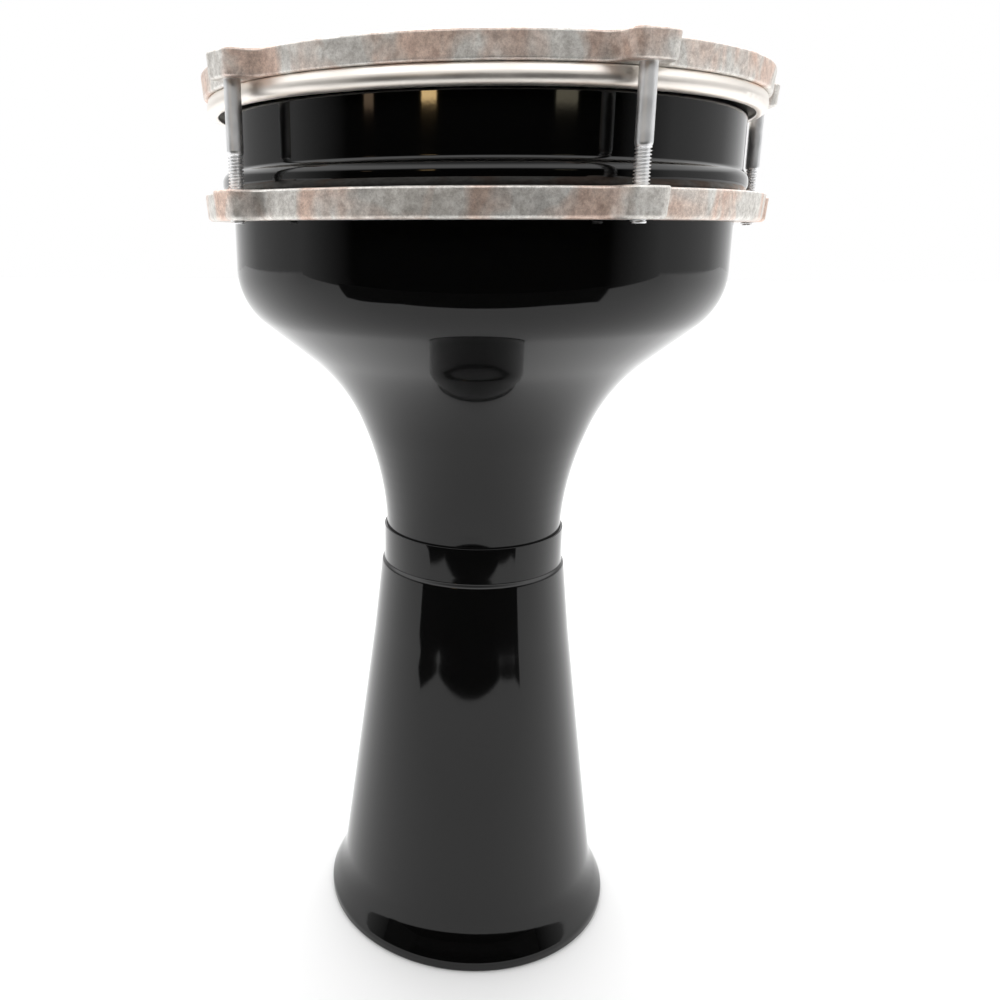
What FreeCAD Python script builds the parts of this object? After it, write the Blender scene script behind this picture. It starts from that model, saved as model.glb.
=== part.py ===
import FreeCAD, Part
import math
import os

import Sketcher

# Goblet drum (darbuka) with a spun metal shell and a rod-tuned head.
#
# Frame: origin at the centre of the foot on the floor, +Z up the drum's axis,
# the first tuning lug on +X.  Millimetres.
#
# The shell is two spun sheets: a bowl whose throat is pressed into the collar of a
# stem.  A lower lug ring is drawn up against a rolled bead on the bowl.  An upper
# lug ring pushes the head's flesh hoop down round the rim.  Five rods pull the
# rings together.

DIMENSIONS = {
    # sheet metal
    "bowl_sheet": 1.5,
    "stem_sheet": 1.2,
    "film_thick": 0.3,
    # foot and stem, outside surface
    "foot_mouth_radius": 60.0,
    "foot_lip_radius": 68.6,
    "foot_lip_rise": 4.2,
    "foot_turn_round": 1.6,
    "foot_lip_round": 5.0,
    "foot_waist_round": 35.0,
    "foot_waist_radius": 62.0,
    "foot_waist_rise": 17.5,
    "stem_middle_radius": 45.9,
    "stem_middle_rise": 140.0,
    "stem_hollow_round": 300.0,
    "stem_shoulder_radius": 42.2,
    "stem_shoulder_rise": 174.6,
    "shoulder_round": 2.0,
    "collar_round": 0.8,
    "collar_radius": 41.0,
    "collar_foot_rise": 175.9,
    "collar_top_rise": 191.9,
    # bowl, outside surface
    "throat_radius": 39.7,
    "throat_tail_radius": 40.6,
    "throat_tail_rise": 171.6,
    "throat_foot_rise": 174.2,
    "throat_round": 1.0,
    "neck_round": 130.0,
    "flare_round": 75.0,
    "belly_round": 28.0,
    "neck_rise": 212.7,
    "flare_radius": 57.8,
    "flare_rise": 257.5,
    "bowl_radius": 102.5,
    "bowl_shoulder_rise": 293.0,
    "bead_foot_rise": 333.0,
    "bead_foot_round": 2.0,
    "bead_radius": 106.5,
    "bead_low_rise": 337.2,
    "bead_low_round": 4.0,
    "bead_high_rise": 341.6,
    "bead_high_round": 4.2,
    "recess_radius": 104.2,
    "recess_foot_rise": 343.6,
    "recess_foot_round": 2.2,
    "recess_top_rise": 366.0,
    "recess_top_round": 2.0,
    "rim_radius": 106.6,
    "rim_foot_rise": 368.4,
    "rim_top_rise": 380.7,
    "rim_lip_radius": 99.5,
    "rim_round": 4.5,
    # head: film, flesh hoop and the resin that locks the film in the hoop
    "film_radius": 108.3,
    "film_round": 5.0,
    "film_tail_rise": 368.9,
    "hoop_inner": 106.95,
    "hoop_outer": 111.2,
    "hoop_top_radius": 110.6,
    "hoop_foot_rise": 363.9,
    "hoop_top_rise": 370.5,
    "hoop_lip_rise": 369.6,
    "hoop_inner_round": 0.5,
    "hoop_low_round": 3.0,
    "hoop_shoulder_rise": 367.6,
    "hoop_shoulder_round": 5.0,
    "hoop_high_round": 1.0,
    "slot_inner": 107.55,
    "slot_outer": 108.75,
    "slot_floor_rise": 366.0,
    "resin_top_rise": 367.6,
    # lug rings
    "upper_ring_inner": 108.65,
    "upper_ring_outer": 113.0,
    "upper_ring_thick": 8.7,
    "upper_ring_top_rise": 379.2,
    "lower_ring_inner": 103.0,
    "lower_ring_outer": 113.6,
    "lower_ring_thick": 10.1,
    "lower_ring_top_rise": 335.0,
    "lower_ring_seat": 1.5,
    "ring_draft": 5.0,
    "lug_reach": 122.5,
    "lug_tip_half": 8.2,
    "lug_root_half": 10.6,
    "lug_bury": 3.0,
    "lug_corner": 4.6,
    "lug_hollow": 6.0,
    "ring_top_round": 0.8,
    "upper_ring_foot_round": 1.0,
    "upper_ring_bore_round": 1.6,
    "lower_ring_foot_round": 1.8,
    # tension rods and washers
    "rod_circle": 116.1,
    "shank_radius": 2.9,
    "thread_radius": 2.74,
    "thread_top_rise": 346.9,
    "rod_tip_rise": 323.7,
    "rod_tip_bevel": 0.6,
    "rod_clearance": 0.05,
    "head_radius": 4.25,
    "head_foot_rise": 374.05,
    "head_top_rise": 378.6,
    "head_bevel": 0.4,
    "socket_flats": 4.0,
    "socket_deep": 2.6,
    "counterbore_radius": 4.6,
    "counterbore_floor_rise": 373.3,
    "washer_radius": 4.4,
    "washer_bore_radius": 3.0,
    "washer_thick": 0.7,
}

LUG_COUNT = 5

doc = FreeCAD.newDocument("goblet_drum")
sheet = doc.addObject("Spreadsheet::Sheet", "Dims")
for row, (alias, size) in enumerate(DIMENSIONS.items(), 1):
    sheet.set(f"A{row}", alias)
    sheet.set(f"B{row}", str(size))
    sheet.setAlias(f"B{row}", alias)
doc.recompute()


def dim(alias):
    """The expression that reads one driving dimension."""
    return f"Dims.{alias}"


def value(expression):
    """The number that an expression gives now."""
    found = sheet.evalExpression(expression)
    return float(getattr(found, "Value", found))


def new_body(label):
    body = doc.addObject("PartDesign::Body", label)
    body.Label = label
    return body


def origin_feature(body, role):
    return next(item for item in body.Origin.OriginFeatures if item.Role == role)


def new_sketch(body, name, plane, height=None):
    """A sketch on one of the body's own planes, raised to height when that is given."""
    sketch = body.newObject("Sketcher::SketchObject", name)
    sketch.AttachmentSupport = [(origin_feature(body, plane), "")]
    sketch.MapMode = "FlatFace"
    if height:
        sketch.setExpression("AttachmentOffset.Base.z", height)
        doc.recompute()
    return sketch


def bind(sketch, kind, where, expression, name):
    """Add one dimension to the sketch and bind it to its expression."""
    index = sketch.addConstraint(Sketcher.Constraint(kind, *where, value(expression)))
    sketch.renameConstraint(index, name)
    sketch.setExpression(f"Constraints.{name}", expression)


def pin_point(sketch, point, across, along, name):
    """Place a point by its distances from the sketch's origin, or on an axis at zero."""
    for kind, axis, expression in (("DistanceX", -2, across), ("DistanceY", -1, along)):
        if abs(value(expression)) < 1e-9:
            sketch.addConstraint(Sketcher.Constraint("PointOnObject", *point, axis))
        else:
            bind(sketch, kind, (-1, 1, *point), expression, f"{name}_{kind[-1].lower()}")


def draw_outline(sketch, corners):
    """Draw a closed outline of straight runs.  Each corner is (across, along, radius):
    two expressions for its place, and one for its rounding, or None to leave it sharp."""
    places = [FreeCAD.Vector(value(x), value(y), 0) for x, y, _ in corners]
    count = len(corners)
    for index, place in enumerate(places):
        run = Part.LineSegment(place, places[(index + 1) % count])
        sketch.addGeometry(run, False)
    for index, (across, along, _) in enumerate(corners):
        following = (index + 1) % count
        sketch.addConstraint(Sketcher.Constraint("Coincident", index, 2, following, 1))
        pin_point(sketch, (index, 1), across, along, f"corner{index}")
    for index, (_, _, radius) in enumerate(corners):
        if radius is None:
            continue
        sketch.fillet((index - 1) % count, 2, value(radius), True, True, False)
        arc = sketch.GeometryCount - 2
        bind(sketch, "Radius", (arc,), radius, f"round{index}")


def slope(start, end):
    """The expression for a run's angle away from straight up the axis."""
    return f"atan2({end[0]} - ({start[0]}); {end[1]} - ({start[1]}))"


def sheet_section(outside, thick):
    """Close a sheet's outer run with the same run set in by its thickness.

    Where two runs meet, the inner corner is the outer one moved by the mitre of
    their slopes.  A rounding gains the thickness on a hollow corner and loses it on
    a proud one."""
    slopes = [slope(outside[i], outside[i + 1]) for i in range(len(outside) - 1)]
    slopes = [slopes[0]] + slopes + [slopes[-1]]
    inside = []
    for index, (across, along, radius) in enumerate(outside):
        before, after = slopes[index], slopes[index + 1]
        middle = f"({before} + {after}) / 2"
        mitre = f"{thick} / cos(({after} - {before}) / 2)"
        inner_across = f"{across} - {mitre} * cos({middle})"
        inner_along = f"{along} + {mitre} * sin({middle})"
        inner_radius = None
        if radius is not None:
            hollow = value(after) > value(before)
            inner_radius = f"{radius} + {thick}" if hollow else f"{radius} - {thick}"
        inside.append((inner_across, inner_along, inner_radius))
    return outside + inside[::-1]


def corner(across, along, rounding=None):
    """A corner whose place, and whose rounding if it has one, are driving dimensions."""
    return dim(across), dim(along), None if rounding is None else dim(rounding)


def revolve(body, sketch):
    feature = body.newObject("PartDesign::Revolution", f"{body.Name}_turned")
    feature.Profile = sketch
    feature.ReferenceAxis = (sketch, ["V_Axis"])
    feature.Angle = 360
    doc.recompute()
    return feature


def turned_body(label, corners):
    """A body turned about the drum's axis, or its own, from one outline."""
    body = new_body(label)
    sketch = new_sketch(body, f"{label}_section", "XZ_Plane")
    draw_outline(sketch, corners)
    revolve(body, sketch)
    return body


def polar_copies(body, feature):
    """Repeat a feature at every lug."""
    pattern = body.newObject("PartDesign::PolarPattern", f"{feature.Name}_round")
    pattern.Originals = [feature]
    pattern.Axis = (origin_feature(body, "Z_Axis"), [""])
    pattern.Angle = 360
    pattern.Occurrences = LUG_COUNT
    body.Tip = pattern
    doc.recompute()
    return pattern


# ---------------------------------------------------------------- shell

def make_bowl():
    """Spun bowl: flared tail, throat, two-stage flare, belly, bead, recess and rim."""
    outside = [
        corner("throat_tail_radius", "throat_tail_rise"),
        corner("throat_radius", "throat_foot_rise", "throat_round"),
        corner("throat_radius", "neck_rise", "neck_round"),
        corner("flare_radius", "flare_rise", "flare_round"),
        corner("bowl_radius", "bowl_shoulder_rise", "belly_round"),
        corner("bowl_radius", "bead_foot_rise", "bead_foot_round"),
        corner("bead_radius", "bead_low_rise", "bead_low_round"),
        corner("bead_radius", "bead_high_rise", "bead_high_round"),
        corner("recess_radius", "recess_foot_rise", "recess_foot_round"),
        corner("recess_radius", "recess_top_rise", "recess_top_round"),
        corner("rim_radius", "rim_foot_rise", "recess_top_round"),
        corner("rim_radius", "rim_top_rise", "rim_round"),
        corner("rim_lip_radius", "rim_top_rise"),
    ]
    return turned_body("bowl", sheet_section(outside, dim("bowl_sheet")))


def make_stem():
    """Spun stem: foot turned in under a flared lip, cone, shoulder and collar."""
    outside = [
        ("Dims.foot_mouth_radius", "0", None),
        ("Dims.foot_lip_radius", "0", dim("foot_turn_round")),
        corner("foot_lip_radius", "foot_lip_rise", "foot_lip_round"),
        corner("foot_waist_radius", "foot_waist_rise", "foot_waist_round"),
        corner("stem_middle_radius", "stem_middle_rise", "stem_hollow_round"),
        corner("stem_shoulder_radius", "stem_shoulder_rise", "shoulder_round"),
        corner("collar_radius", "collar_foot_rise", "collar_round"),
        corner("collar_radius", "collar_top_rise"),
    ]
    return turned_body("stem", sheet_section(outside, dim("stem_sheet")))


# ---------------------------------------------------------------- head

def make_drumhead():
    """Film laid over the rim, its edge turned down into the flesh hoop's slot."""
    inner_radius = "Dims.film_radius - Dims.film_thick"
    film_top = "Dims.rim_top_rise + Dims.film_thick"
    corners = [
        (inner_radius, dim("film_tail_rise"), None),
        (dim("film_radius"), dim("film_tail_rise"), None),
        (dim("film_radius"), film_top, dim("film_round")),
        ("0", film_top, None),
        ("0", dim("rim_top_rise"), None),
        (inner_radius, dim("rim_top_rise"), "Dims.film_round - Dims.film_thick"),
    ]
    return turned_body("drumhead", corners)


def make_flesh_hoop():
    """Half-round hoop with a slot in its top for the film's edge."""
    corners = [
        corner("hoop_inner", "hoop_foot_rise", "hoop_inner_round"),
        corner("hoop_outer", "hoop_foot_rise", "hoop_low_round"),
        corner("hoop_outer", "hoop_shoulder_rise", "hoop_shoulder_round"),
        corner("hoop_top_radius", "hoop_top_rise", "hoop_high_round"),
        corner("slot_outer", "hoop_top_rise"),
        corner("slot_outer", "slot_floor_rise"),
        corner("slot_inner", "slot_floor_rise"),
        corner("slot_inner", "hoop_lip_rise"),
        corner("hoop_inner", "hoop_lip_rise"),
    ]
    return turned_body("flesh_hoop", corners)


def make_hoop_resin():
    """Resin in the bottom of the hoop's slot."""
    corners = [
        corner("slot_inner", "slot_floor_rise"),
        corner("slot_outer", "slot_floor_rise"),
        corner("slot_outer", "resin_top_rise"),
        corner("slot_inner", "resin_top_rise"),
    ]
    return turned_body("hoop_resin", corners)


# ---------------------------------------------------------------- lug rings

def draw_circles(sketch, circles):
    """Circles, each (centre across, radius) as expressions, centred on the X axis."""
    for index, (across, radius) in enumerate(circles):
        centre = FreeCAD.Vector(value(across), 0, 0)
        circle = Part.Circle(centre, FreeCAD.Vector(0, 0, 1), value(radius))
        edge = sketch.addGeometry(circle, False)
        pin_point(sketch, (edge, 3), across, "0", f"centre{index}")
        bind(sketch, "Radius", (edge,), radius, f"circle{index}")


def pad_down(body, sketch, thick):
    """Pad a plan outline down from its plane, narrowing by the casting's draft."""
    pad = body.newObject("PartDesign::Pad", f"{sketch.Name}_cast")
    pad.Profile = sketch
    pad.setExpression("Length", thick)
    pad.setExpression("TaperAngle", "-Dims.ring_draft")
    pad.Reversed = True
    doc.recompute()
    return pad


def pocket_down(body, sketch, depth=None):
    """Cut down from a sketch's plane, through everything when no depth is given."""
    before = body.Shape.Volume
    pocket = body.newObject("PartDesign::Pocket", f"{sketch.Name}_cut")
    pocket.Profile = sketch
    if depth is None:
        pocket.Type = "ThroughAll"
    else:
        pocket.setExpression("Length", depth)
    doc.recompute()
    assert pocket.Shape.Volume < before - 1, f"{sketch.Name} cuts nothing"
    return pocket


def lug_outline(outer):
    """Plan corners of one lug on +X, from inside the ring out to its flat tip."""
    half = [
        (f"{outer} - Dims.lug_bury", "Dims.lug_root_half", None),
        (dim("lug_reach"), dim("lug_tip_half"), dim("lug_corner")),
    ]
    mirrored = [(x, f"-({y})", radius) for x, y, radius in half]
    return half + mirrored[::-1]


def edges_where(shape, test):
    """Names of the shape's edges that pass a test on the edge."""
    return [f"Edge{i}" for i, edge in enumerate(shape.Edges, 1) if test(edge)]


def flat_at(edge, height):
    box = edge.BoundBox
    return abs(box.ZMin - height) < 1e-4 and abs(box.ZMax - height) < 1e-4


def axis_distance(edge):
    """How far an edge's middle is from the drum's axis."""
    middle = edge.valueAt((edge.FirstParameter + edge.LastParameter) / 2)
    return math.hypot(middle.x, middle.y)


def outer_rim(edge, height, inner):
    """Whether an edge is part of a ring's outer outline at a height."""
    drilled = edge.isClosed() and edge.Length < inner
    return flat_at(edge, height) and not drilled and axis_distance(edge) > inner + 1


def inner_rim(edge, height, inner):
    """Whether an edge is the ring's bore at a height."""
    return flat_at(edge, height) and axis_distance(edge) < inner + 1


def soften(body, kind, name, alias, test):
    """Round (Fillet) or bevel (Chamfer) the edges that pass the test, by a dimension."""
    base = body.Tip
    feature = body.newObject(f"PartDesign::{kind}", f"{body.Name}_{name}")
    feature.Base = (base, edges_where(base.Shape, test))
    feature.setExpression("Radius" if kind == "Fillet" else "Size", dim(alias))
    doc.recompute()
    return feature


def make_ring(label, inner, outer, thick, top, hole_radius):
    """A cast ring with five drilled lugs, drafted towards its underside."""
    body = new_body(label)
    blank = new_sketch(body, f"{label}_plan", "XY_Plane", top)
    draw_circles(blank, [("0", outer)])
    pad_down(body, blank, thick)
    lug = new_sketch(body, f"{label}_lug", "XY_Plane", top)
    draw_outline(lug, lug_outline(outer))
    polar_copies(body, pad_down(body, lug, thick))
    reach = value(outer) + 1
    soften(body, "Fillet", "lug_roots", "lug_hollow",
           lambda edge: edge.BoundBox.ZLength > 1 and axis_distance(edge) < reach)
    bore = new_sketch(body, f"{label}_bore", "XY_Plane", top)
    draw_circles(bore, [("0", inner)])
    pocket_down(body, bore)
    hole = new_sketch(body, f"{label}_hole", "XY_Plane", top)
    draw_circles(hole, [(dim("rod_circle"), hole_radius)])
    polar_copies(body, pocket_down(body, hole))
    return body


def make_upper_ring():
    top = value(dim("upper_ring_top_rise"))
    bottom = top - value(dim("upper_ring_thick"))
    inner = value(dim("upper_ring_inner"))
    body = make_ring("upper_ring", dim("upper_ring_inner"), dim("upper_ring_outer"),
                     dim("upper_ring_thick"), dim("upper_ring_top_rise"),
                     "Dims.shank_radius + Dims.rod_clearance")
    seat = new_sketch(body, "upper_ring_counterbore", "XY_Plane", dim("upper_ring_top_rise"))
    draw_circles(seat, [(dim("rod_circle"), dim("counterbore_radius"))])
    deep = "Dims.upper_ring_top_rise - Dims.counterbore_floor_rise"
    polar_copies(body, pocket_down(body, seat, deep))
    soften(body, "Fillet", "underside", "upper_ring_foot_round",
           lambda edge: outer_rim(edge, bottom, inner))
    soften(body, "Fillet", "top_outside", "ring_top_round",
           lambda edge: outer_rim(edge, top, inner))
    soften(body, "Fillet", "top_inside", "upper_ring_bore_round",
           lambda edge: inner_rim(edge, top, inner))
    return body


def make_lower_ring():
    top = value(dim("lower_ring_top_rise"))
    bottom = top - value(dim("lower_ring_thick"))
    inner = value(dim("lower_ring_inner"))
    body = make_ring("lower_ring", dim("lower_ring_inner"), dim("lower_ring_outer"),
                     dim("lower_ring_thick"), dim("lower_ring_top_rise"),
                     "Dims.thread_radius + Dims.rod_clearance")
    soften(body, "Fillet", "underside", "lower_ring_foot_round",
           lambda edge: outer_rim(edge, bottom, inner))
    soften(body, "Fillet", "top_outside", "ring_top_round",
           lambda edge: outer_rim(edge, top, inner))
    soften(body, "Chamfer", "bead_seat", "lower_ring_seat",
           lambda edge: inner_rim(edge, top, inner))
    return body


# ---------------------------------------------------------------- rods

def place_at_lug(body, number):
    """Stand a piece made about its own axis on the rod circle, turned to its lug."""
    angle = f"{360 / LUG_COUNT * (number - 1):g} deg"
    body.Placement = FreeCAD.Placement()
    body.setExpression("Placement.Base.x", f"Dims.rod_circle * cos({angle})")
    body.setExpression("Placement.Base.y", f"Dims.rod_circle * sin({angle})")
    body.setExpression("Placement.Rotation.Angle", angle)
    doc.recompute()


def make_rod(number):
    """Socket-head tension rod: head, plain shank, a bevelled step and the thread."""
    bevel = dim("rod_tip_bevel")
    head_bevel = dim("head_bevel")
    corners = [
        ("0", dim("rod_tip_rise"), None),
        (f"Dims.thread_radius - {bevel}", dim("rod_tip_rise"), None),
        (dim("thread_radius"), f"Dims.rod_tip_rise + {bevel}", None),
        (dim("thread_radius"), dim("thread_top_rise"), None),
        (dim("shank_radius"), f"Dims.thread_top_rise + {bevel}", None),
        (dim("shank_radius"), dim("head_foot_rise"), None),
        (dim("head_radius"), dim("head_foot_rise"), None),
        (dim("head_radius"), f"Dims.head_top_rise - {head_bevel}", None),
        (f"Dims.head_radius - {head_bevel}", dim("head_top_rise"), None),
        ("0", dim("head_top_rise"), None),
    ]
    body = turned_body(f"tension_rod_{number}", corners)
    before = body.Shape.Volume
    socket = body.newObject("PartDesign::SubtractivePrism", f"key_socket_{number}")
    socket.AttachmentSupport = [(origin_feature(body, "XY_Plane"), "")]
    socket.MapMode = "FlatFace"
    socket.Polygon = 6
    socket.setExpression("Circumradius", "Dims.socket_flats / sqrt(3)")
    socket.setExpression("Height", dim("socket_deep"))
    socket.setExpression("AttachmentOffset.Base.z", "Dims.head_top_rise - Dims.socket_deep")
    doc.recompute()
    assert body.Shape.Volume < before - 1, "the key socket cuts nothing"
    place_at_lug(body, number)
    return body


def make_washer(number):
    """Flat washer under a rod's head."""
    bore = dim("washer_bore_radius")
    top = "Dims.counterbore_floor_rise + Dims.washer_thick"
    corners = [
        (bore, dim("counterbore_floor_rise"), None),
        (dim("washer_radius"), dim("counterbore_floor_rise"), None),
        (dim("washer_radius"), top, None),
        (bore, top, None),
    ]
    body = turned_body(f"rod_washer_{number}", corners)
    place_at_lug(body, number)
    return body


# ---------------------------------------------------------------- build and write

parts = [
    make_bowl(),
    make_stem(),
    make_lower_ring(),
    make_upper_ring(),
    make_flesh_hoop(),
    make_hoop_resin(),
    make_drumhead(),
]
for lug_number in range(1, LUG_COUNT + 1):
    parts.append(make_rod(lug_number))
    parts.append(make_washer(lug_number))
doc.recompute()

for item in doc.Objects:
    if "Invalid" in item.State or "Error" in item.State:
        raise RuntimeError(f"{item.Label} failed: {item.State}")
for part in parts:
    if part.Shape.isNull() or not part.Shape.isValid() or len(part.Shape.Solids) != 1:
        raise RuntimeError(f"{part.Label} is not one valid solid")

os.makedirs("parts", exist_ok=True)
for part in parts:
    part.Shape.exportStep(f"parts/{part.Label}.step")
    box = part.Shape.BoundBox
    print(f"{part.Label}: {part.Shape.Volume / 1000:.2f} cm3, "
          f"z {box.ZMin:.2f} to {box.ZMax:.2f}, across {box.XLength:.2f}")
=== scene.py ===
# %% [markdown]
# # A spun metal goblet drum
# The drum stands on its flared foot. Two spun sheets make the shell: a wide bowl and a
# narrow stem. A film head lies over the bowl's rim, and two cast rings with five lugs
# each pull it tight through five threaded rods. The engineering model is already
# packed, so Blender adds what engineering leaves out: finer surfaces, real threads,
# finishes and light.

import math

import bpy
from mathutils import Matrix, Vector


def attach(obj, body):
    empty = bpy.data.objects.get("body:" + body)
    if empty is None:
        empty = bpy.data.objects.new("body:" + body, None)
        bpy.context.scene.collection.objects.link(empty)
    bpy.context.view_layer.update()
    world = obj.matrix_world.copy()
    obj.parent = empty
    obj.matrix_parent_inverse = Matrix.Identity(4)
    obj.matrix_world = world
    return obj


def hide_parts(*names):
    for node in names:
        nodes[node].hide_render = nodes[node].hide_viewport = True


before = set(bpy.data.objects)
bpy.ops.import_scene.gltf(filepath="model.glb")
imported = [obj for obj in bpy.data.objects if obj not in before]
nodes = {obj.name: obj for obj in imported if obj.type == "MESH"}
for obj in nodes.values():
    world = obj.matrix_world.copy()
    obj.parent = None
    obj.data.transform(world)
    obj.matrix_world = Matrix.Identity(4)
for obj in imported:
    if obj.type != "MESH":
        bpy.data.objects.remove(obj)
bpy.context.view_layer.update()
MM = 0.001

# %% [markdown]
# ## Sections: drawing what a spinner's former looks like
# A spun or turned piece is one outline swept round an axis. The outline could be a
# curve drawn by hand, but a maker thinks in corners and roundings: "out to this radius
# at this height, with that round". So a section here is a list of corners, each with a
# radius from the axis, a rise from the floor and a rounding, in millimetres, and a
# helper turns the corners into arcs. Long arcs get many points, because a gloss surface
# shows every facet, and straight runs are divided too, so that the smooth shading of an
# arc does not leak along them.

# %% Round a section's corners
ARC_STEP = math.radians(2.5)
RUN_STEP = 2.5


def turn_at(before, here, after):
    """Directions into and out of a corner, and the signed angle between them."""
    arrive, leave = (here - before).normalized(), (after - here).normalized()
    return arrive, leave, math.atan2(arrive.x * leave.y - arrive.y * leave.x, arrive.dot(leave))


def round_corner(before, here, after, radius):
    """Points of the arc that replaces one corner."""
    arrive, leave, turn = turn_at(before, here, after)
    if radius <= 0 or abs(turn) < 1e-6:
        return [here]
    start = here - arrive * radius * math.tan(abs(turn) / 2)
    side = math.copysign(1, turn)
    centre = start + Vector((-arrive.y, arrive.x)) * radius * side
    steps = max(3, math.ceil(abs(turn) / ARC_STEP))
    spoke = start - centre
    return [centre + Matrix.Rotation(turn * i / steps, 2) @ spoke for i in range(steps + 1)]


def drawn(corners, closed=True):
    """Turn (radius, rise, rounding) corners into a fine polyline."""
    places = [Vector(c[:2]) for c in corners]
    count = len(corners)
    line = []
    for i, (place, spec) in enumerate(zip(places, corners)):
        if not closed and i in (0, count - 1):
            line.append(place)
        else:
            line += round_corner(places[i - 1], place, places[(i + 1) % count], spec[2])
    fine = []
    for i, point in enumerate(line):
        fine.append(point)
        if i + 1 == len(line) and not closed:
            break
        following = line[(i + 1) % len(line)]
        pieces = math.ceil((following - point).length / RUN_STEP)
        fine += [point.lerp(following, k / pieces) for k in range(1, pieces)]
    return fine


print("arc step", round(math.degrees(ARC_STEP), 1), "degrees, run step", RUN_STEP, "mm")

# %% [markdown]
# A sheet has a second face, set in by its thickness. Its corners sit on the mitre
# between the two runs that meet there, a hollow corner's rounding gains the thickness
# and a proud one's loses it. That keeps the sheet the same thickness everywhere, which
# a Solidify modifier would only do roughly round the tight bead.

# %% Give a sheet its inner face
EDGE_ROUND = 0.3
SHARPEST_MITRE = 0.2


def sheet_section(outside, thick):
    """Close the outer face's corners with the same face set in by the thickness."""
    places = [Vector(c[:2]) for c in outside]
    runs = [(b - a).normalized() for a, b in zip(places, places[1:])]
    runs = [runs[0]] + runs + [runs[-1]]
    inside = []
    for place, spec, arrive, leave in zip(places, outside, runs, runs[1:]):
        mitre = (arrive + leave).normalized()
        inward = Vector((-mitre.y, mitre.x))
        turn = arrive.x * leave.y - arrive.y * leave.x
        spot = place + inward * thick / max(SHARPEST_MITRE, mitre.dot(arrive))
        rounding = spec[2] - math.copysign(thick, turn) if abs(turn) > 1e-6 else 0
        inside.append((spot.x, spot.y, max(rounding, EDGE_ROUND)))
    ends = (0, len(outside) - 1)
    outer = [(r, z, EDGE_ROUND if i in ends else rnd) for i, (r, z, rnd) in enumerate(outside)]
    return outer + inside[::-1]


print("sheet tool ready, raw edges rounded", EDGE_ROUND, "mm")


# %% [markdown]
# ## Sweeping a section round the axis
# Blender's Screw modifier could sweep the outline, but building the rings of points
# directly keeps the mesh free of doubled points at the seam and lets a radius change
# with the angle, which the rods' threads and key sockets need later.

# %% Turn a section into a mesh
SMOOTH_BELOW = math.radians(32)


def finish_mesh(name, points, faces, sharp=SMOOTH_BELOW):
    """A smooth-shaded object whose edges are sharp above an angle."""
    mesh = bpy.data.meshes.new(name)
    mesh.from_pydata(points, [], faces)
    mesh.validate()
    mesh.shade_smooth()
    mesh.set_sharp_from_angle(angle=sharp)
    piece = bpy.data.objects.new(name, mesh)
    bpy.context.scene.collection.objects.link(piece)
    print(name, len(mesh.vertices), "points")
    return piece


def turned(name, line, around):
    """Sweep a closed section, in millimetres, round the Z axis."""
    rows = len(line)
    points = []
    for column in range(around):
        angle = math.tau * column / around
        cos, sin = math.cos(angle) * MM, math.sin(angle) * MM
        points += [(p.x * cos, p.x * sin, p.y * MM) for p in line]
    faces = []
    for column in range(around):
        here, there = column * rows, (column + 1) % around * rows
        for row in range(rows):
            up = (row + 1) % rows
            faces.append((here + row, there + row, there + up, here + up))
    return finish_mesh(name, points, faces)


# %% [markdown]
# ## The bowl
# The bowl is one disc of aluminium spun over a former: a short tail and throat that
# press into the stem, a long trumpet flare, a deep belly, a rolled bead that the lower
# ring pulls against, a recess, and a rim that the head lies on. The real one is smooth
# enough to reflect the room, so it is turned again here with far more points than the
# engineering mesh, from the same corners.

# %% Spin the bowl
BOWL_SHEET = 1.5
BOWL_OUTSIDE = [
    (40.6, 171.6, 0),
    (39.7, 174.2, 1.0),
    (39.7, 212.7, 130),
    (57.8, 257.5, 75),
    (102.5, 293.0, 28),
    (102.5, 333.0, 2),
    (106.5, 337.2, 4),
    (106.5, 341.6, 4.2),
    (104.2, 343.6, 2.2),
    (104.2, 366.0, 2),
    (106.6, 368.4, 2),
    (106.6, 380.7, 4.5),
    (99.5, 380.7, 0),
]
AROUND_SHELL = 288
bowl = turned("spun_bowl", drawn(sheet_section(BOWL_OUTSIDE, BOWL_SHEET)), AROUND_SHELL)

# %% [markdown]
# ## The stem
# The stem is a second spinning: the foot is turned in under a flared lip so that it
# stands on a flat ring, the cone narrows towards the neck in a slightly hollow line,
# and a small shoulder steps in to a collar that grips the bowl's throat.

# %% Spin the stem
STEM_SHEET = 1.2
STEM_OUTSIDE = [
    (60.0, 0.0, 0),
    (68.6, 0.0, 1.6),
    (68.6, 4.2, 5),
    (62.0, 17.5, 35),
    (45.9, 140.0, 300),
    (42.2, 174.6, 2),
    (41.0, 175.9, 0.8),
    (41.0, 191.9, 0),
]
stem = turned("spun_stem", drawn(sheet_section(STEM_OUTSIDE, STEM_SHEET)), AROUND_SHELL)

# %% [markdown]
# ## The head
# The head is a milky film drawn over the rim and turned down into a slot in the flesh
# hoop, where resin holds it. A flat disc would do for the playing face, but the rounded
# shoulder over the rim is what catches the light, so the film is one turned sheet too.

# %% Draw the film over the rim
FILM = 0.3
FILM_TAIL, FILM_RADIUS, FILM_ROUND = 368.9, 108.3, 5
FILM_TOP, FILM_UNDER = 381.0, 380.7
FILM_OUTSIDE = [(FILM_RADIUS, FILM_TAIL, 0), (FILM_RADIUS, FILM_TOP, FILM_ROUND), (0.0, FILM_TOP, 0)]
FILM_INSIDE = [
    (0.0, FILM_UNDER, 0),
    (FILM_RADIUS - FILM, FILM_UNDER, FILM_ROUND - FILM),
    (FILM_RADIUS - FILM, FILM_TAIL, 0),
]
AROUND_FILM = 192


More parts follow.
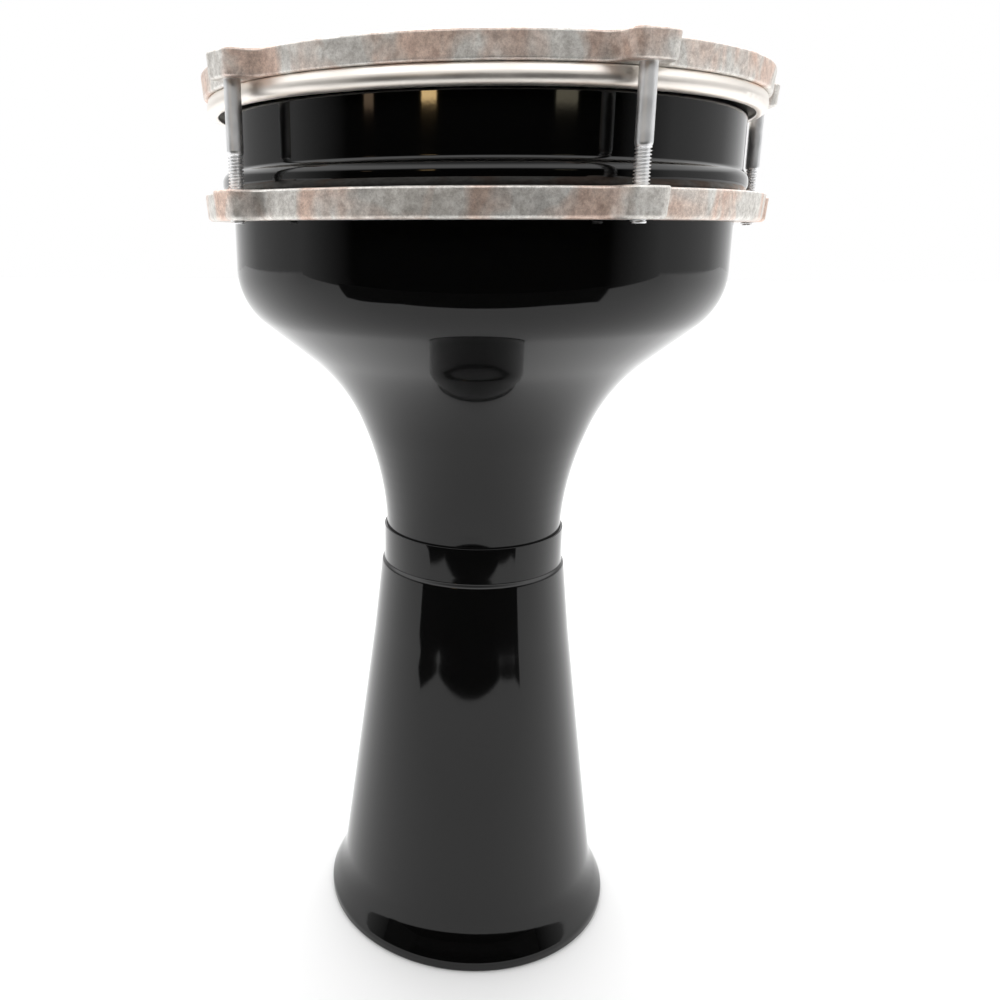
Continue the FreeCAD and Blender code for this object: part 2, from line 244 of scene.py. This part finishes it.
def film_head():
    """Two open faces and their shared lower edge, meeting at two centre points."""
    line = drawn(FILM_OUTSIDE, closed=False)[:-1]
    under = drawn(FILM_INSIDE, closed=False)[1:]
    points, faces = [], []
    for column in range(AROUND_FILM):
        angle = math.tau * column / AROUND_FILM
        for p in line + under:
            points.append((p.x * math.cos(angle) * MM, p.x * math.sin(angle) * MM, p.y * MM))
    rows = len(line) + len(under)
    top, below = len(points), len(points) + 1
    points += [(0, 0, FILM_TOP * MM), (0, 0, FILM_UNDER * MM)]
    for column in range(AROUND_FILM):
        here, there = column * rows, (column + 1) % AROUND_FILM * rows
        for row in range(rows):
            up = (row + 1) % rows
            if row == len(line) - 1:
                faces += [(here + row, there + row, top), (there + up, here + up, below)]
            else:
                faces.append((here + row, there + row, there + up, here + up))
    return finish_mesh("film_head", points, faces)


head = film_head()

# %% [markdown]
# ## The tuning rods
# Each rod is a socket-head screw: a head that sits in the upper ring, a plain shank, and
# a 24 to the inch thread that runs through the lower ring. A bump map could fake the
# thread, but the teeth show along the rod's outline, so it is cut into the mesh. The
# surface is a stack of rings, and each ring asks for its radius at each angle: the
# thread follows the angle and the height together, and the key socket is a hexagon.

# %% Cut one rod
THREAD_PITCH = 25.4 / 24
THREAD_DEEP = 0.6134 * THREAD_PITCH
THREAD_RADIUS, SHANK_RADIUS, HEAD_RADIUS = 2.74, 2.9, 4.25
TIP, THREAD_TOP, HEAD_FOOT, HEAD_TOP = 323.7, 346.9, 374.05, 378.6
BEVEL, HEAD_BEVEL, HEAD_EDGE = 0.6, 0.4, 0.15
SHANK_STEP, SHANK_END = 0.2, 0.6
SOCKET_FLAT, SOCKET_DEEP, SOCKET_POINT = 2.0, 2.6, 0.5
SOCKET_RIM, SOCKET_LEAD = 0.45, 0.15
AROUND_ROD = 48
STEPS_PER_PITCH = 10
CREST_SHARE, ROOT_SHARE = 1 / 16, 1 / 8
THREAD_SHARP = math.radians(40)


def thread_radius(angle, rise):
    """Radius of the right-hand thread, fading in at the tip and out under the shank."""
    phase = (rise / THREAD_PITCH - angle / math.tau) % 1
    from_crest = min(phase, 1 - phase)
    cut = (from_crest - CREST_SHARE) / (0.5 - CREST_SHARE - ROOT_SHARE)
    fade = min(1, (THREAD_TOP - rise) / THREAD_PITCH)
    radius = THREAD_RADIUS - THREAD_DEEP * max(0, min(1, cut)) * max(0, fade)
    return min(radius, THREAD_RADIUS - BEVEL + max(0, rise - TIP))


def socket_radius(angle):
    """Radius of the hexagon at an angle."""
    part = (angle + math.pi / 6) % (math.pi / 3) - math.pi / 6
    return SOCKET_FLAT / math.cos(part)


def rod_rings():
    """(rise, radius at an angle) from the tip up, over the head and down the socket."""
    steps = round((THREAD_TOP - TIP) / THREAD_PITCH * STEPS_PER_PITCH)
    rises = [TIP + (THREAD_TOP - TIP) * i / steps for i in range(steps + 1)]
    rings = [(rise, lambda angle, rise=rise: thread_radius(angle, rise)) for rise in rises]
    plain = [
        (THREAD_TOP + BEVEL, SHANK_RADIUS),
        (THREAD_TOP + BEVEL + SHANK_STEP, SHANK_RADIUS),
        (HEAD_FOOT - SHANK_END, SHANK_RADIUS),
        (HEAD_FOOT, SHANK_RADIUS),
        (HEAD_FOOT, HEAD_RADIUS - HEAD_EDGE),
        (HEAD_FOOT + HEAD_EDGE, HEAD_RADIUS),
        (HEAD_TOP - HEAD_BEVEL, HEAD_RADIUS),
        (HEAD_TOP, HEAD_RADIUS - HEAD_BEVEL),
        (HEAD_TOP, SOCKET_FLAT + SOCKET_RIM),
    ]
    rings += [(rise, lambda angle, radius=radius: radius) for rise, radius in plain]
    rings += [(HEAD_TOP - SOCKET_LEAD, socket_radius), (HEAD_TOP - SOCKET_DEEP, socket_radius)]
    return rings


def cut_rod():
    """One rod about its own axis, closed at its tip and at the socket's floor."""
    points, faces = [], []
    rings = rod_rings()
    for rise, radius_at in rings:
        for column in range(AROUND_ROD):
            angle = math.tau * column / AROUND_ROD
            radius = radius_at(angle) * MM
            points.append((radius * math.cos(angle), radius * math.sin(angle), rise * MM))
    tip, floor = len(points), len(points) + 1
    points += [(0, 0, TIP * MM), (0, 0, (HEAD_TOP - SOCKET_DEEP - SOCKET_POINT) * MM)]
    last = (len(rings) - 1) * AROUND_ROD
    for column in range(AROUND_ROD):
        there = (column + 1) % AROUND_ROD
        faces += [(tip, there, column), (floor, last + column, last + there)]
        for base in range(0, last, AROUND_ROD):
            above = base + AROUND_ROD
            faces.append((base + column, base + there, above + there, above + column))
    return finish_mesh("tuning_rod_1", points, faces, THREAD_SHARP)


first_rod = cut_rod()

# %% [markdown]
# The other four rods are the same mesh, turned round the drum. They share one mesh, so
# a change to the thread changes all five.

# %% Stand a rod in each lug
LUGS = 5
ROD_CIRCLE = 116.1
rods = [first_rod]
for number in range(2, LUGS + 1):
    rod = bpy.data.objects.new(f"tuning_rod_{number}", first_rod.data)
    bpy.context.scene.collection.objects.link(rod)
    rods.append(rod)
for number, rod in enumerate(rods):
    angle = math.tau * number / LUGS
    rod.location = (ROD_CIRCLE * MM * math.cos(angle), ROD_CIRCLE * MM * math.sin(angle), 0)
    rod.rotation_euler = (0, 0, angle)
print(len(rods), "rods on a", ROD_CIRCLE * 2, "mm circle")

# %% [markdown]
# ## Finishes: a small bench of shader tools
# Every finish starts from the Principled shader. Values that are the same all over are
# set on its own sockets, and only what changes over the surface gets nodes. Patterns
# are read from the object's own coordinates in metres, so a noise scale of 100 means
# features about a centimetre across.

# %% Helpers for finishes
def new_finish(name, **sockets):
    """A material with its Principled shader's sockets set."""
    material = bpy.data.materials.new(name)
    material.use_nodes = True
    shader = material.node_tree.nodes["Principled BSDF"]
    for socket, setting in sockets.items():
        shader.inputs[socket.replace("_", " ")].default_value = setting
    return material, material.node_tree, shader


def add(tree, kind, inputs=(), **settings):
    """A node with its settings, and its inputs given as values or as outputs to link."""
    node = tree.nodes.new(kind)
    for key, setting in settings.items():
        setattr(node, key, setting)
    for socket, given in dict(inputs).items():
        if isinstance(given, bpy.types.NodeSocket):
            tree.links.new(given, node.inputs[socket])
        else:
            node.inputs[socket].default_value = given
    return node


def place(tree, stretch=(1, 1, 1)):
    """Object coordinates, stretched."""
    coordinates = add(tree, "ShaderNodeTexCoord").outputs["Object"]
    return add(tree, "ShaderNodeMapping", {"Vector": coordinates, "Scale": stretch}).outputs[0]


def noise(tree, vector, scale, detail=2.0, rough=0.5, distort=0.0):
    """Noise from 0 to 1."""
    return add(tree, "ShaderNodeTexNoise", {
        "Vector": vector, "Scale": scale, "Detail": detail, "Roughness": rough,
        "Distortion": distort}).outputs["Fac"]


def spread(tree, factor, low, high, start=0.0, end=1.0):
    """Map a factor from one range to another, clamped."""
    return add(tree, "ShaderNodeMapRange", {
        "Value": factor, "From Min": start, "From Max": end, "To Min": low,
        "To Max": high}).outputs[0]


def blend_colour(tree, factor, first, second):
    """Mix two colours, each given as a value or an output."""
    node = add(tree, "ShaderNodeMix", data_type="RGBA")
    for index, given in ((0, factor), (6, first), (7, second)):
        if isinstance(given, bpy.types.NodeSocket):
            tree.links.new(given, node.inputs[index])
        else:
            node.inputs[index].default_value = given
    return node.outputs[2]


def bump(tree, shader, height, deep):
    """Raise the surface by a height pattern, deep metres from low to high."""
    node = add(tree, "ShaderNodeBump", {"Height": height, "Distance": deep, "Strength": 1.0})
    tree.links.new(node.outputs[0], shader.inputs["Normal"])


def plus(tree, first, second):
    """The sum of two patterns."""
    return add(tree, "ShaderNodeMath", {0: first, 1: second}, operation="ADD").outputs[0]


def dot(tree, first, second):
    """How far two directions agree."""
    node = add(tree, "ShaderNodeVectorMath", {0: first, 1: second}, operation="DOT_PRODUCT")
    return node.outputs["Value"]


NOISE_LOW, NOISE_HIGH = 0.3, 0.7
print("finish tools ready")

# %% [markdown]
# ## Black enamel
# The shell is baked enamel: a black, clear gloss with the faint orange peel of sprayed
# paint, and places where hands have dulled it a little. It is a plastic-like surface,
# so it stays non-metallic, and everything seen on it is the room. The peel is two
# sizes of very shallow bump, and the dulling is a slow change of roughness.

# %% Mix the enamel
ENAMEL_GLOSSY, ENAMEL_DULLED = 0.04, 0.075
PEEL_DEEP = 0.0000012
enamel, tree, shader = new_finish("black_enamel", Base_Color=(0.002, 0.002, 0.002, 1), IOR=1.45)
skin = place(tree)
handled = noise(tree, skin, 22, 3, 0.55)
dulled = spread(tree, handled, ENAMEL_GLOSSY, ENAMEL_DULLED, NOISE_LOW, NOISE_HIGH)
tree.links.new(dulled, shader.inputs["Roughness"])
bump(tree, shader, plus(tree, noise(tree, skin, 900, 1), noise(tree, skin, 190, 2)), PEEL_DEEP)
print("enamel roughness", ENAMEL_GLOSSY, "to", ENAMEL_DULLED)

# %% [markdown]
# ## Cast aluminium
# The lug rings are sand castings, tumbled until the skin is satin. Such a skin is
# mottled: grey metal with warm stains where the tumbling did not reach, fine pits, and
# edges rubbed bright, where the bright edges are also a painted highlight on the rounded
# corners. The stains and the mottling are noise at two scales, and each colour is a dark
# and a light version of itself, so the grain shows through the stains.

# %% Stain and mottle the castings
STAINS, MOTTLES, PITS = 50, 330, 1400
STAIN_STARTS, STAIN_FULL = 0.46, 0.61
MOTTLE_DARK, MOTTLE_LIGHT = 0.38, 0.62
GREY_SKIN = (0.60, 0.57, 0.53, 1), (0.99, 0.97, 0.93, 1)
WARM_SKIN = (0.60, 0.44, 0.37, 1), (0.99, 0.81, 0.70, 1)
cast, tree, shader = new_finish("cast_aluminium", Metallic=1.0)
skin = place(tree)
tall_patches = noise(tree, place(tree, (1, 1, 0.5)), STAINS, 3, 0.5, 0.6)
stain = spread(tree, tall_patches, 0, 1, STAIN_STARTS, STAIN_FULL)
mottle = spread(tree, noise(tree, skin, MOTTLES, 6, 0.9), 0, 1, MOTTLE_DARK, MOTTLE_LIGHT)
body_colour = blend_colour(
    tree, stain, blend_colour(tree, mottle, *GREY_SKIN), blend_colour(tree, mottle, *WARM_SKIN))
print("stains about", round(1000 / STAINS), "mm across, mottles about", round(1000 / MOTTLES), "mm")

# %% [markdown]
# Painting worn, highlit edges by hand would take a mask for each ring. The Bevel node finds them
# instead: it gives the normal of a rounded copy, and where that differs from the real
# normal there is an edge. There the colour turns near white, partly rubbed wear and
# partly a painted highlight.

# %% Rub the edges bright and paint highlights on them
WORN_AND_HIGHLIT_WIDTH = 0.0014
WORN_AND_HIGHLIT_EDGE = (0.97, 0.96, 0.95, 1)
SURELY_EDGE, SURELY_FLAT = 0.90, 0.995
SMOOTHEST, ROUGHEST = 0.44, 0.66
PIT_DEEP = 0.00006
rounded_normal = add(tree, "ShaderNodeBevel", {"Radius": WORN_AND_HIGHLIT_WIDTH}, samples=6).outputs[0]
true_normal = add(tree, "ShaderNodeNewGeometry").outputs["Normal"]
# The near-white edge colour is partly rubbed wear and partly a painted highlight.
edge = spread(tree, dot(tree, rounded_normal, true_normal), 1, 0, SURELY_EDGE, SURELY_FLAT)
tree.links.new(blend_colour(tree, edge, body_colour, WORN_AND_HIGHLIT_EDGE), shader.inputs["Base Color"])
satin = spread(tree, noise(tree, skin, 95, 4, 0.6), SMOOTHEST, ROUGHEST, NOISE_LOW, NOISE_HIGH)
tree.links.new(satin, shader.inputs["Roughness"])
bump(tree, shader, plus(tree, noise(tree, skin, PITS, 3, 0.7), noise(tree, skin, 120, 3)), PIT_DEEP)
# The width of the worn edges that also carry the painted highlight.
print("edges rubbed", WORN_AND_HIGHLIT_WIDTH / MM, "mm wide")

# %% [markdown]
# ## Bright aluminium
# The flesh hoop is rolled from a bright strip, so its marks run round the drum. The
# pattern is read from the height only, which makes every mark a complete ring.

# %% Roll the hoop's finish
ROLLING_MARKS, MARK_DEEP = 2600, 0.000012
bright, tree, shader = new_finish("bright_aluminium", Base_Color=(0.95, 0.90, 0.84, 1), Metallic=1.0)
height_only = place(tree, (0, 0, 1))
smears = spread(tree, noise(tree, place(tree), 60, 3), 0.34, 0.46, NOISE_LOW, NOISE_HIGH)
tree.links.new(smears, shader.inputs["Roughness"])
bump(tree, shader, noise(tree, height_only, ROLLING_MARKS, 3, 0.6), MARK_DEEP)
print("rolling marks", round(1000 / ROLLING_MARKS, 2), "mm apart")

# %% [markdown]
# ## Zinc plate and plain steel
# The rods are zinc plated: a cool, slightly blue bright metal, with fine streaks along
# the shank from drawing the wire. The washers are the same steel left plain.

# %% Plate the rods and washers
ZINC_SHADES = (0.84, 0.85, 0.86, 1), (0.98, 0.98, 0.98, 1)
STEEL_SHADES = (0.46, 0.46, 0.47, 1), (0.66, 0.66, 0.67, 1)
zinc, tree, shader = new_finish("zinc_plate", Metallic=1.0)
streak = noise(tree, place(tree, (1, 1, 0.02)), 2400, 2)
haze = noise(tree, place(tree), 240, 3)
tree.links.new(blend_colour(tree, haze, *ZINC_SHADES), shader.inputs["Base Color"])
tree.links.new(spread(tree, haze, 0.38, 0.48, NOISE_LOW, NOISE_HIGH), shader.inputs["Roughness"])
bump(tree, shader, streak, 0.000008)

washer_steel, tree, shader = new_finish("washer_steel", Metallic=1.0)
grain = noise(tree, place(tree), 700, 3)
tree.links.new(blend_colour(tree, grain, *STEEL_SHADES), shader.inputs["Base Color"])
tree.links.new(spread(tree, grain, 0.25, 0.42, NOISE_LOW, NOISE_HIGH), shader.inputs["Roughness"])
print("plated", zinc.name, "and", washer_steel.name)

# %% [markdown]
# ## Film and resin
# The head is a polyester film with a milky ground: it lets some light through, so it
# gets a little subsurface, and a faint cloudiness. Its colour is set a good deal darker
# than real film, because the strong light that the black shell needs would burn a white
# head out to nothing. The resin is a hard amber plastic.

# %% Mix the film and the resin
MILKY_SHADES = (0.52, 0.52, 0.50, 1), (0.60, 0.60, 0.58, 1)
AMBER_SHADES = (0.42, 0.25, 0.08, 1), (0.60, 0.42, 0.18, 1)
film, tree, shader = new_finish(
    "milky_film", Roughness=0.28, IOR=1.6, Subsurface_Weight=0.25,
    Subsurface_Radius=(0.004, 0.004, 0.004), Subsurface_Scale=1.0)
cloud = noise(tree, place(tree), 26, 4, 0.6)
tree.links.new(blend_colour(tree, cloud, *MILKY_SHADES), shader.inputs["Base Color"])
bump(tree, shader, noise(tree, place(tree), 1500, 2), 0.000008)

resin, tree, shader = new_finish("amber_resin", Roughness=0.3, IOR=1.54)
cloud = noise(tree, place(tree), 300, 3)
tree.links.new(blend_colour(tree, cloud, *AMBER_SHADES), shader.inputs["Base Color"])
bump(tree, shader, cloud, 0.00005)
print("mixed", film.name, "and", resin.name)

# %% [markdown]
# ## Dressing the pieces
# The turned pieces take the place of their engineering solids. The rings, the hoop, the
# resin and the washers already have the right shape and roundings, so they stay and
# only change finish.

# %% Assign the finishes and join the frame
def wear(piece, finish):
    """Give a piece one finish."""
    piece.data.materials.clear()
    piece.data.materials.append(finish)


for piece, node, finish, slot in (
    (bowl, "bowl", enamel, "black_gloss_enamel"),
    (stem, "stem", enamel, "black_gloss_enamel"),
    (head, "drumhead", film, "white_film"),
):
    wear(piece, finish)
    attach(piece, "shell")
    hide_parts(node)
wear(first_rod, zinc)
for number, rod in enumerate(rods, 1):
    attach(rod, f"rod_{number}")
    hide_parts(f"tension_rod_{number}")
kept = {"lower_ring": cast, "upper_ring": cast, "flesh_hoop": bright, "hoop_resin": resin}
kept.update({f"rod_washer_{number}": washer_steel for number in range(1, LUGS + 1)})
for node, finish in kept.items():
    for held in nodes[node].material_slots:
        held.material = finish
    if not nodes[node].material_slots:
        nodes[node].data.materials.append(finish)
print("replaced", 3 + LUGS, "nodes and kept", len(kept))

# %% [markdown]
# ## The table and the black card
# Gloss black shows its surroundings and little else, so the studio is built for its
# reflections. The drum stands on a pale table whose front edge stops in front of it,
# with the dark of the room beyond. The paint is a little lighter towards the rear and
# darker towards the front: painted light and shade, for a table that is lit more at the back.

# %% Lay the table
CAMERA_POLAR = math.radians(-97.5)
TABLE_FRONT, TABLE_REACH = 0.62, 6.0
PAINTED_LIT_REAR, PAINTED_SHADED_FRONT = 0.93, 0.80
toward = Vector((math.cos(CAMERA_POLAR), math.sin(CAMERA_POLAR), 0))
across = Vector((-toward.y, toward.x, 0))


def studio_sheet(name, corners, paint):
    """One flat face that belongs to the studio and not to the drum."""
    mesh = bpy.data.meshes.new(name)
    mesh.from_pydata(corners, [], [tuple(range(len(corners)))])
    flat = bpy.data.objects.new(name, mesh)
    bpy.context.scene.collection.objects.link(flat)
    wear(flat, paint)
    return flat


table_shaded_paint, tree, shader = new_finish("table_shaded_paint", Roughness=0.9, Specular_IOR_Level=0.1)
# Painted light and shade: the paint darkens towards the front and lightens towards the rear.
pale = spread(tree, dot(tree, place(tree), toward), PAINTED_LIT_REAR, PAINTED_SHADED_FRONT, -0.15, 0.30)
tree.links.new(pale, shader.inputs["Base Color"])
corners = [toward * TABLE_FRONT + across * side for side in (-TABLE_REACH, TABLE_REACH)]
corners += [-toward * TABLE_REACH + across * side for side in (TABLE_REACH, -TABLE_REACH)]
table = studio_sheet("table", corners, table_shaded_paint)
print("table front", TABLE_FRONT, "m from the axis")

# %% [markdown]
# A studio for glossy things has black cards, held near the thing to draw the edges of
# its reflections. This card stands low and close in front, with an arch cut in its foot
# so that the pale table still shows under it. Only reflections see it, so it throws no
# shadow and never blocks a view. It is painted shade: a dark sheet that puts the shaded
# floor in front of the drum into the reflections.

# %% Stand the black card that paints shade into the reflections
CARD_FRONT = 0.33
CARD_OUTLINE = [(-0.56, 0.001), (-0.43, 0.001), (-0.22, 0.06), (0.20, 0.06),
                (0.36, 0.03), (0.45, 0.001), (0.45, 0.20), (-0.56, 0.20)]
# Painted shade: a black sheet that only reflections see.
reflected_shade_paint = new_finish("reflected_shade_paint", Base_Color=(0.005, 0.005, 0.005, 1), Roughness=1.0)[0]
corners = [toward * CARD_FRONT + across * side + Vector((0, 0, rise)) for side, rise in CARD_OUTLINE]
card = studio_sheet("reflected_shade_card", corners, reflected_shade_paint)
card.visible_camera = card.visible_diffuse = card.visible_shadow = False
print("card", CARD_FRONT, "m from the axis")

# %% [markdown]
# ## The light
# The light is soft and comes from the World shader, because one smooth gradient there
# costs less and reflects more cleanly than a ring of panels. It is black in front, dim at
# the sides, twice as bright straight behind, where the drum's outline reflects it, and
# brightest in a broad band overhead. The band falls off towards the top, so that the
# head isn't burnt out. The camera's own rays see a plain white background instead.

# %% Light the studio
CEILING, ZENITH, SIDES, GRAZE, BACKGROUND = 2.0, 0.4, 0.6, 0.6, 1.0
CEILING_STARTS, CEILING_FULL = 0.27, 0.45
ZENITH_STARTS, ZENITH_FULL = 0.70, 0.90
SIDES_FULL, SIDES_END = 0.1, 0.55
GRAZE_FULL, GRAZE_END = -0.95, -0.5
world = bpy.data.worlds.new("studio")
bpy.context.scene.world = world
world.use_nodes = True
tree = world.node_tree
tree.nodes.clear()
direction = add(tree, "ShaderNodeTexCoord").outputs["Generated"]
parts = add(tree, "ShaderNodeSeparateXYZ", {0: direction}).outputs
level = add(tree, "ShaderNodeCombineXYZ", {0: parts[0], 1: parts[1], 2: 0.0}).outputs[0]
level = add(tree, "ShaderNodeVectorMath", {0: level}, operation="NORMALIZE").outputs[0]
front = dot(tree, level, toward)
sides = spread(tree, front, SIDES, 0.0, SIDES_FULL, SIDES_END)
graze = spread(tree, front, GRAZE, 0.0, GRAZE_FULL, GRAZE_END)
sky = spread(tree, parts[2], 0.0, 1.0, CEILING_STARTS, CEILING_FULL)
overhead = spread(tree, parts[2], CEILING, ZENITH, ZENITH_STARTS, ZENITH_FULL)
light = add(tree, "ShaderNodeMix", {0: sky, 2: plus(tree, sides, graze), 3: overhead}).outputs[0]
seen = add(tree, "ShaderNodeLightPath").outputs["Is Camera Ray"]
strength = add(tree, "ShaderNodeMix", {0: seen, 2: light, 3: BACKGROUND}).outputs[0]
background = add(tree, "ShaderNodeBackground", {"Color": (1, 1, 1, 1), "Strength": strength})
add(tree, "ShaderNodeOutputWorld", {"Surface": background.outputs[0]})
print("ceiling", CEILING, "sides", SIDES)

# %% [markdown]
# A wide soft panel hangs high behind the drum and lifts the rear of the table. Three
# small warm lamps stand in the dark part of the room: on the enamel they are small warm
# glints, and on the metal they are a trace of warmth. Each lamp is given by where it
# stands round the drum, how high, how large and how bright its face is, and its power
# follows from those, so that a lamp can change size without changing brightness.

# %% Hang the panel and the lamps
LAMPS_AWAY, PANEL_AWAY = 2.5, 1.3
RECESS_MIDDLE, DRUM_FOOT = Vector((0, 0, 0.36)), Vector((0, 0, 0))


def lamp(name, polar, rise, away, aim, wide, tall, bright, colour):
    """A rectangular lamp that faces a point on the drum."""
    data = bpy.data.lights.new(name, "AREA")
    data.shape, data.size, data.size_y = "RECTANGLE", wide, tall
    data.energy, data.color = bright * math.pi * wide * tall, colour
    light_object = bpy.data.objects.new(name, data)
    bpy.context.scene.collection.objects.link(light_object)
    turn, lift = math.radians(polar), math.radians(rise)
    arm = Vector((math.cos(turn) * math.cos(lift), math.sin(turn) * math.cos(lift), math.sin(lift)))
    light_object.location = aim + arm * away
    light_object.rotation_euler = arm.to_track_quat("Z", "Y").to_euler()
    print(name, "power", round(data.energy, 2), "W")


lamp("warm_lamp", -118.2, 7.1, LAMPS_AWAY, RECESS_MIDDLE, 0.26, 0.035, 20, (1.0, 0.69, 0.32))
lamp("dim_lamp", -64.3, 7.0, LAMPS_AWAY, RECESS_MIDDLE, 0.38, 0.05, 2.4, (1.0, 0.9, 0.65))
lamp("brown_lamp", -143.2, 7.0, LAMPS_AWAY, RECESS_MIDDLE, 0.18, 0.06, 2.4, (1.0, 0.7, 0.45))
lamp("soft_panel", 82.5, 62, PANEL_AWAY, DRUM_FOOT, 1.2, 0.8, 2.4, (1, 1, 1))

# %% [markdown]
# ## The camera
# The camera stands close, a little below the top of the head, and looks down at the
# foot. The lens is fairly wide, so from so near the foot runs away from it. The drum
# stands a little to one side of the camera's axis, and a sideways lens shift brings it
# back to the middle.

# %% Stand the camera
CAMERA_PLACE = (-0.0546, -0.4150, 0.3217)
CAMERA_TILT, CAMERA_TURN = math.radians(73.99), math.radians(-3.11)
camera_data = bpy.data.cameras.new("camera")
camera_data.sensor_width = 36.0
camera_data.lens = 33.88
camera_data.shift_x = 0.0958
camera_data.clip_start, camera_data.clip_end = 0.01, 50
camera = bpy.data.objects.new("camera", camera_data)
camera.location = CAMERA_PLACE
camera.rotation_euler = (CAMERA_TILT, 0, CAMERA_TURN)
bpy.context.scene.collection.objects.link(camera)
bpy.context.scene.camera = camera
bpy.context.scene.view_settings.view_transform = "Standard"
print("camera at", CAMERA_PLACE)
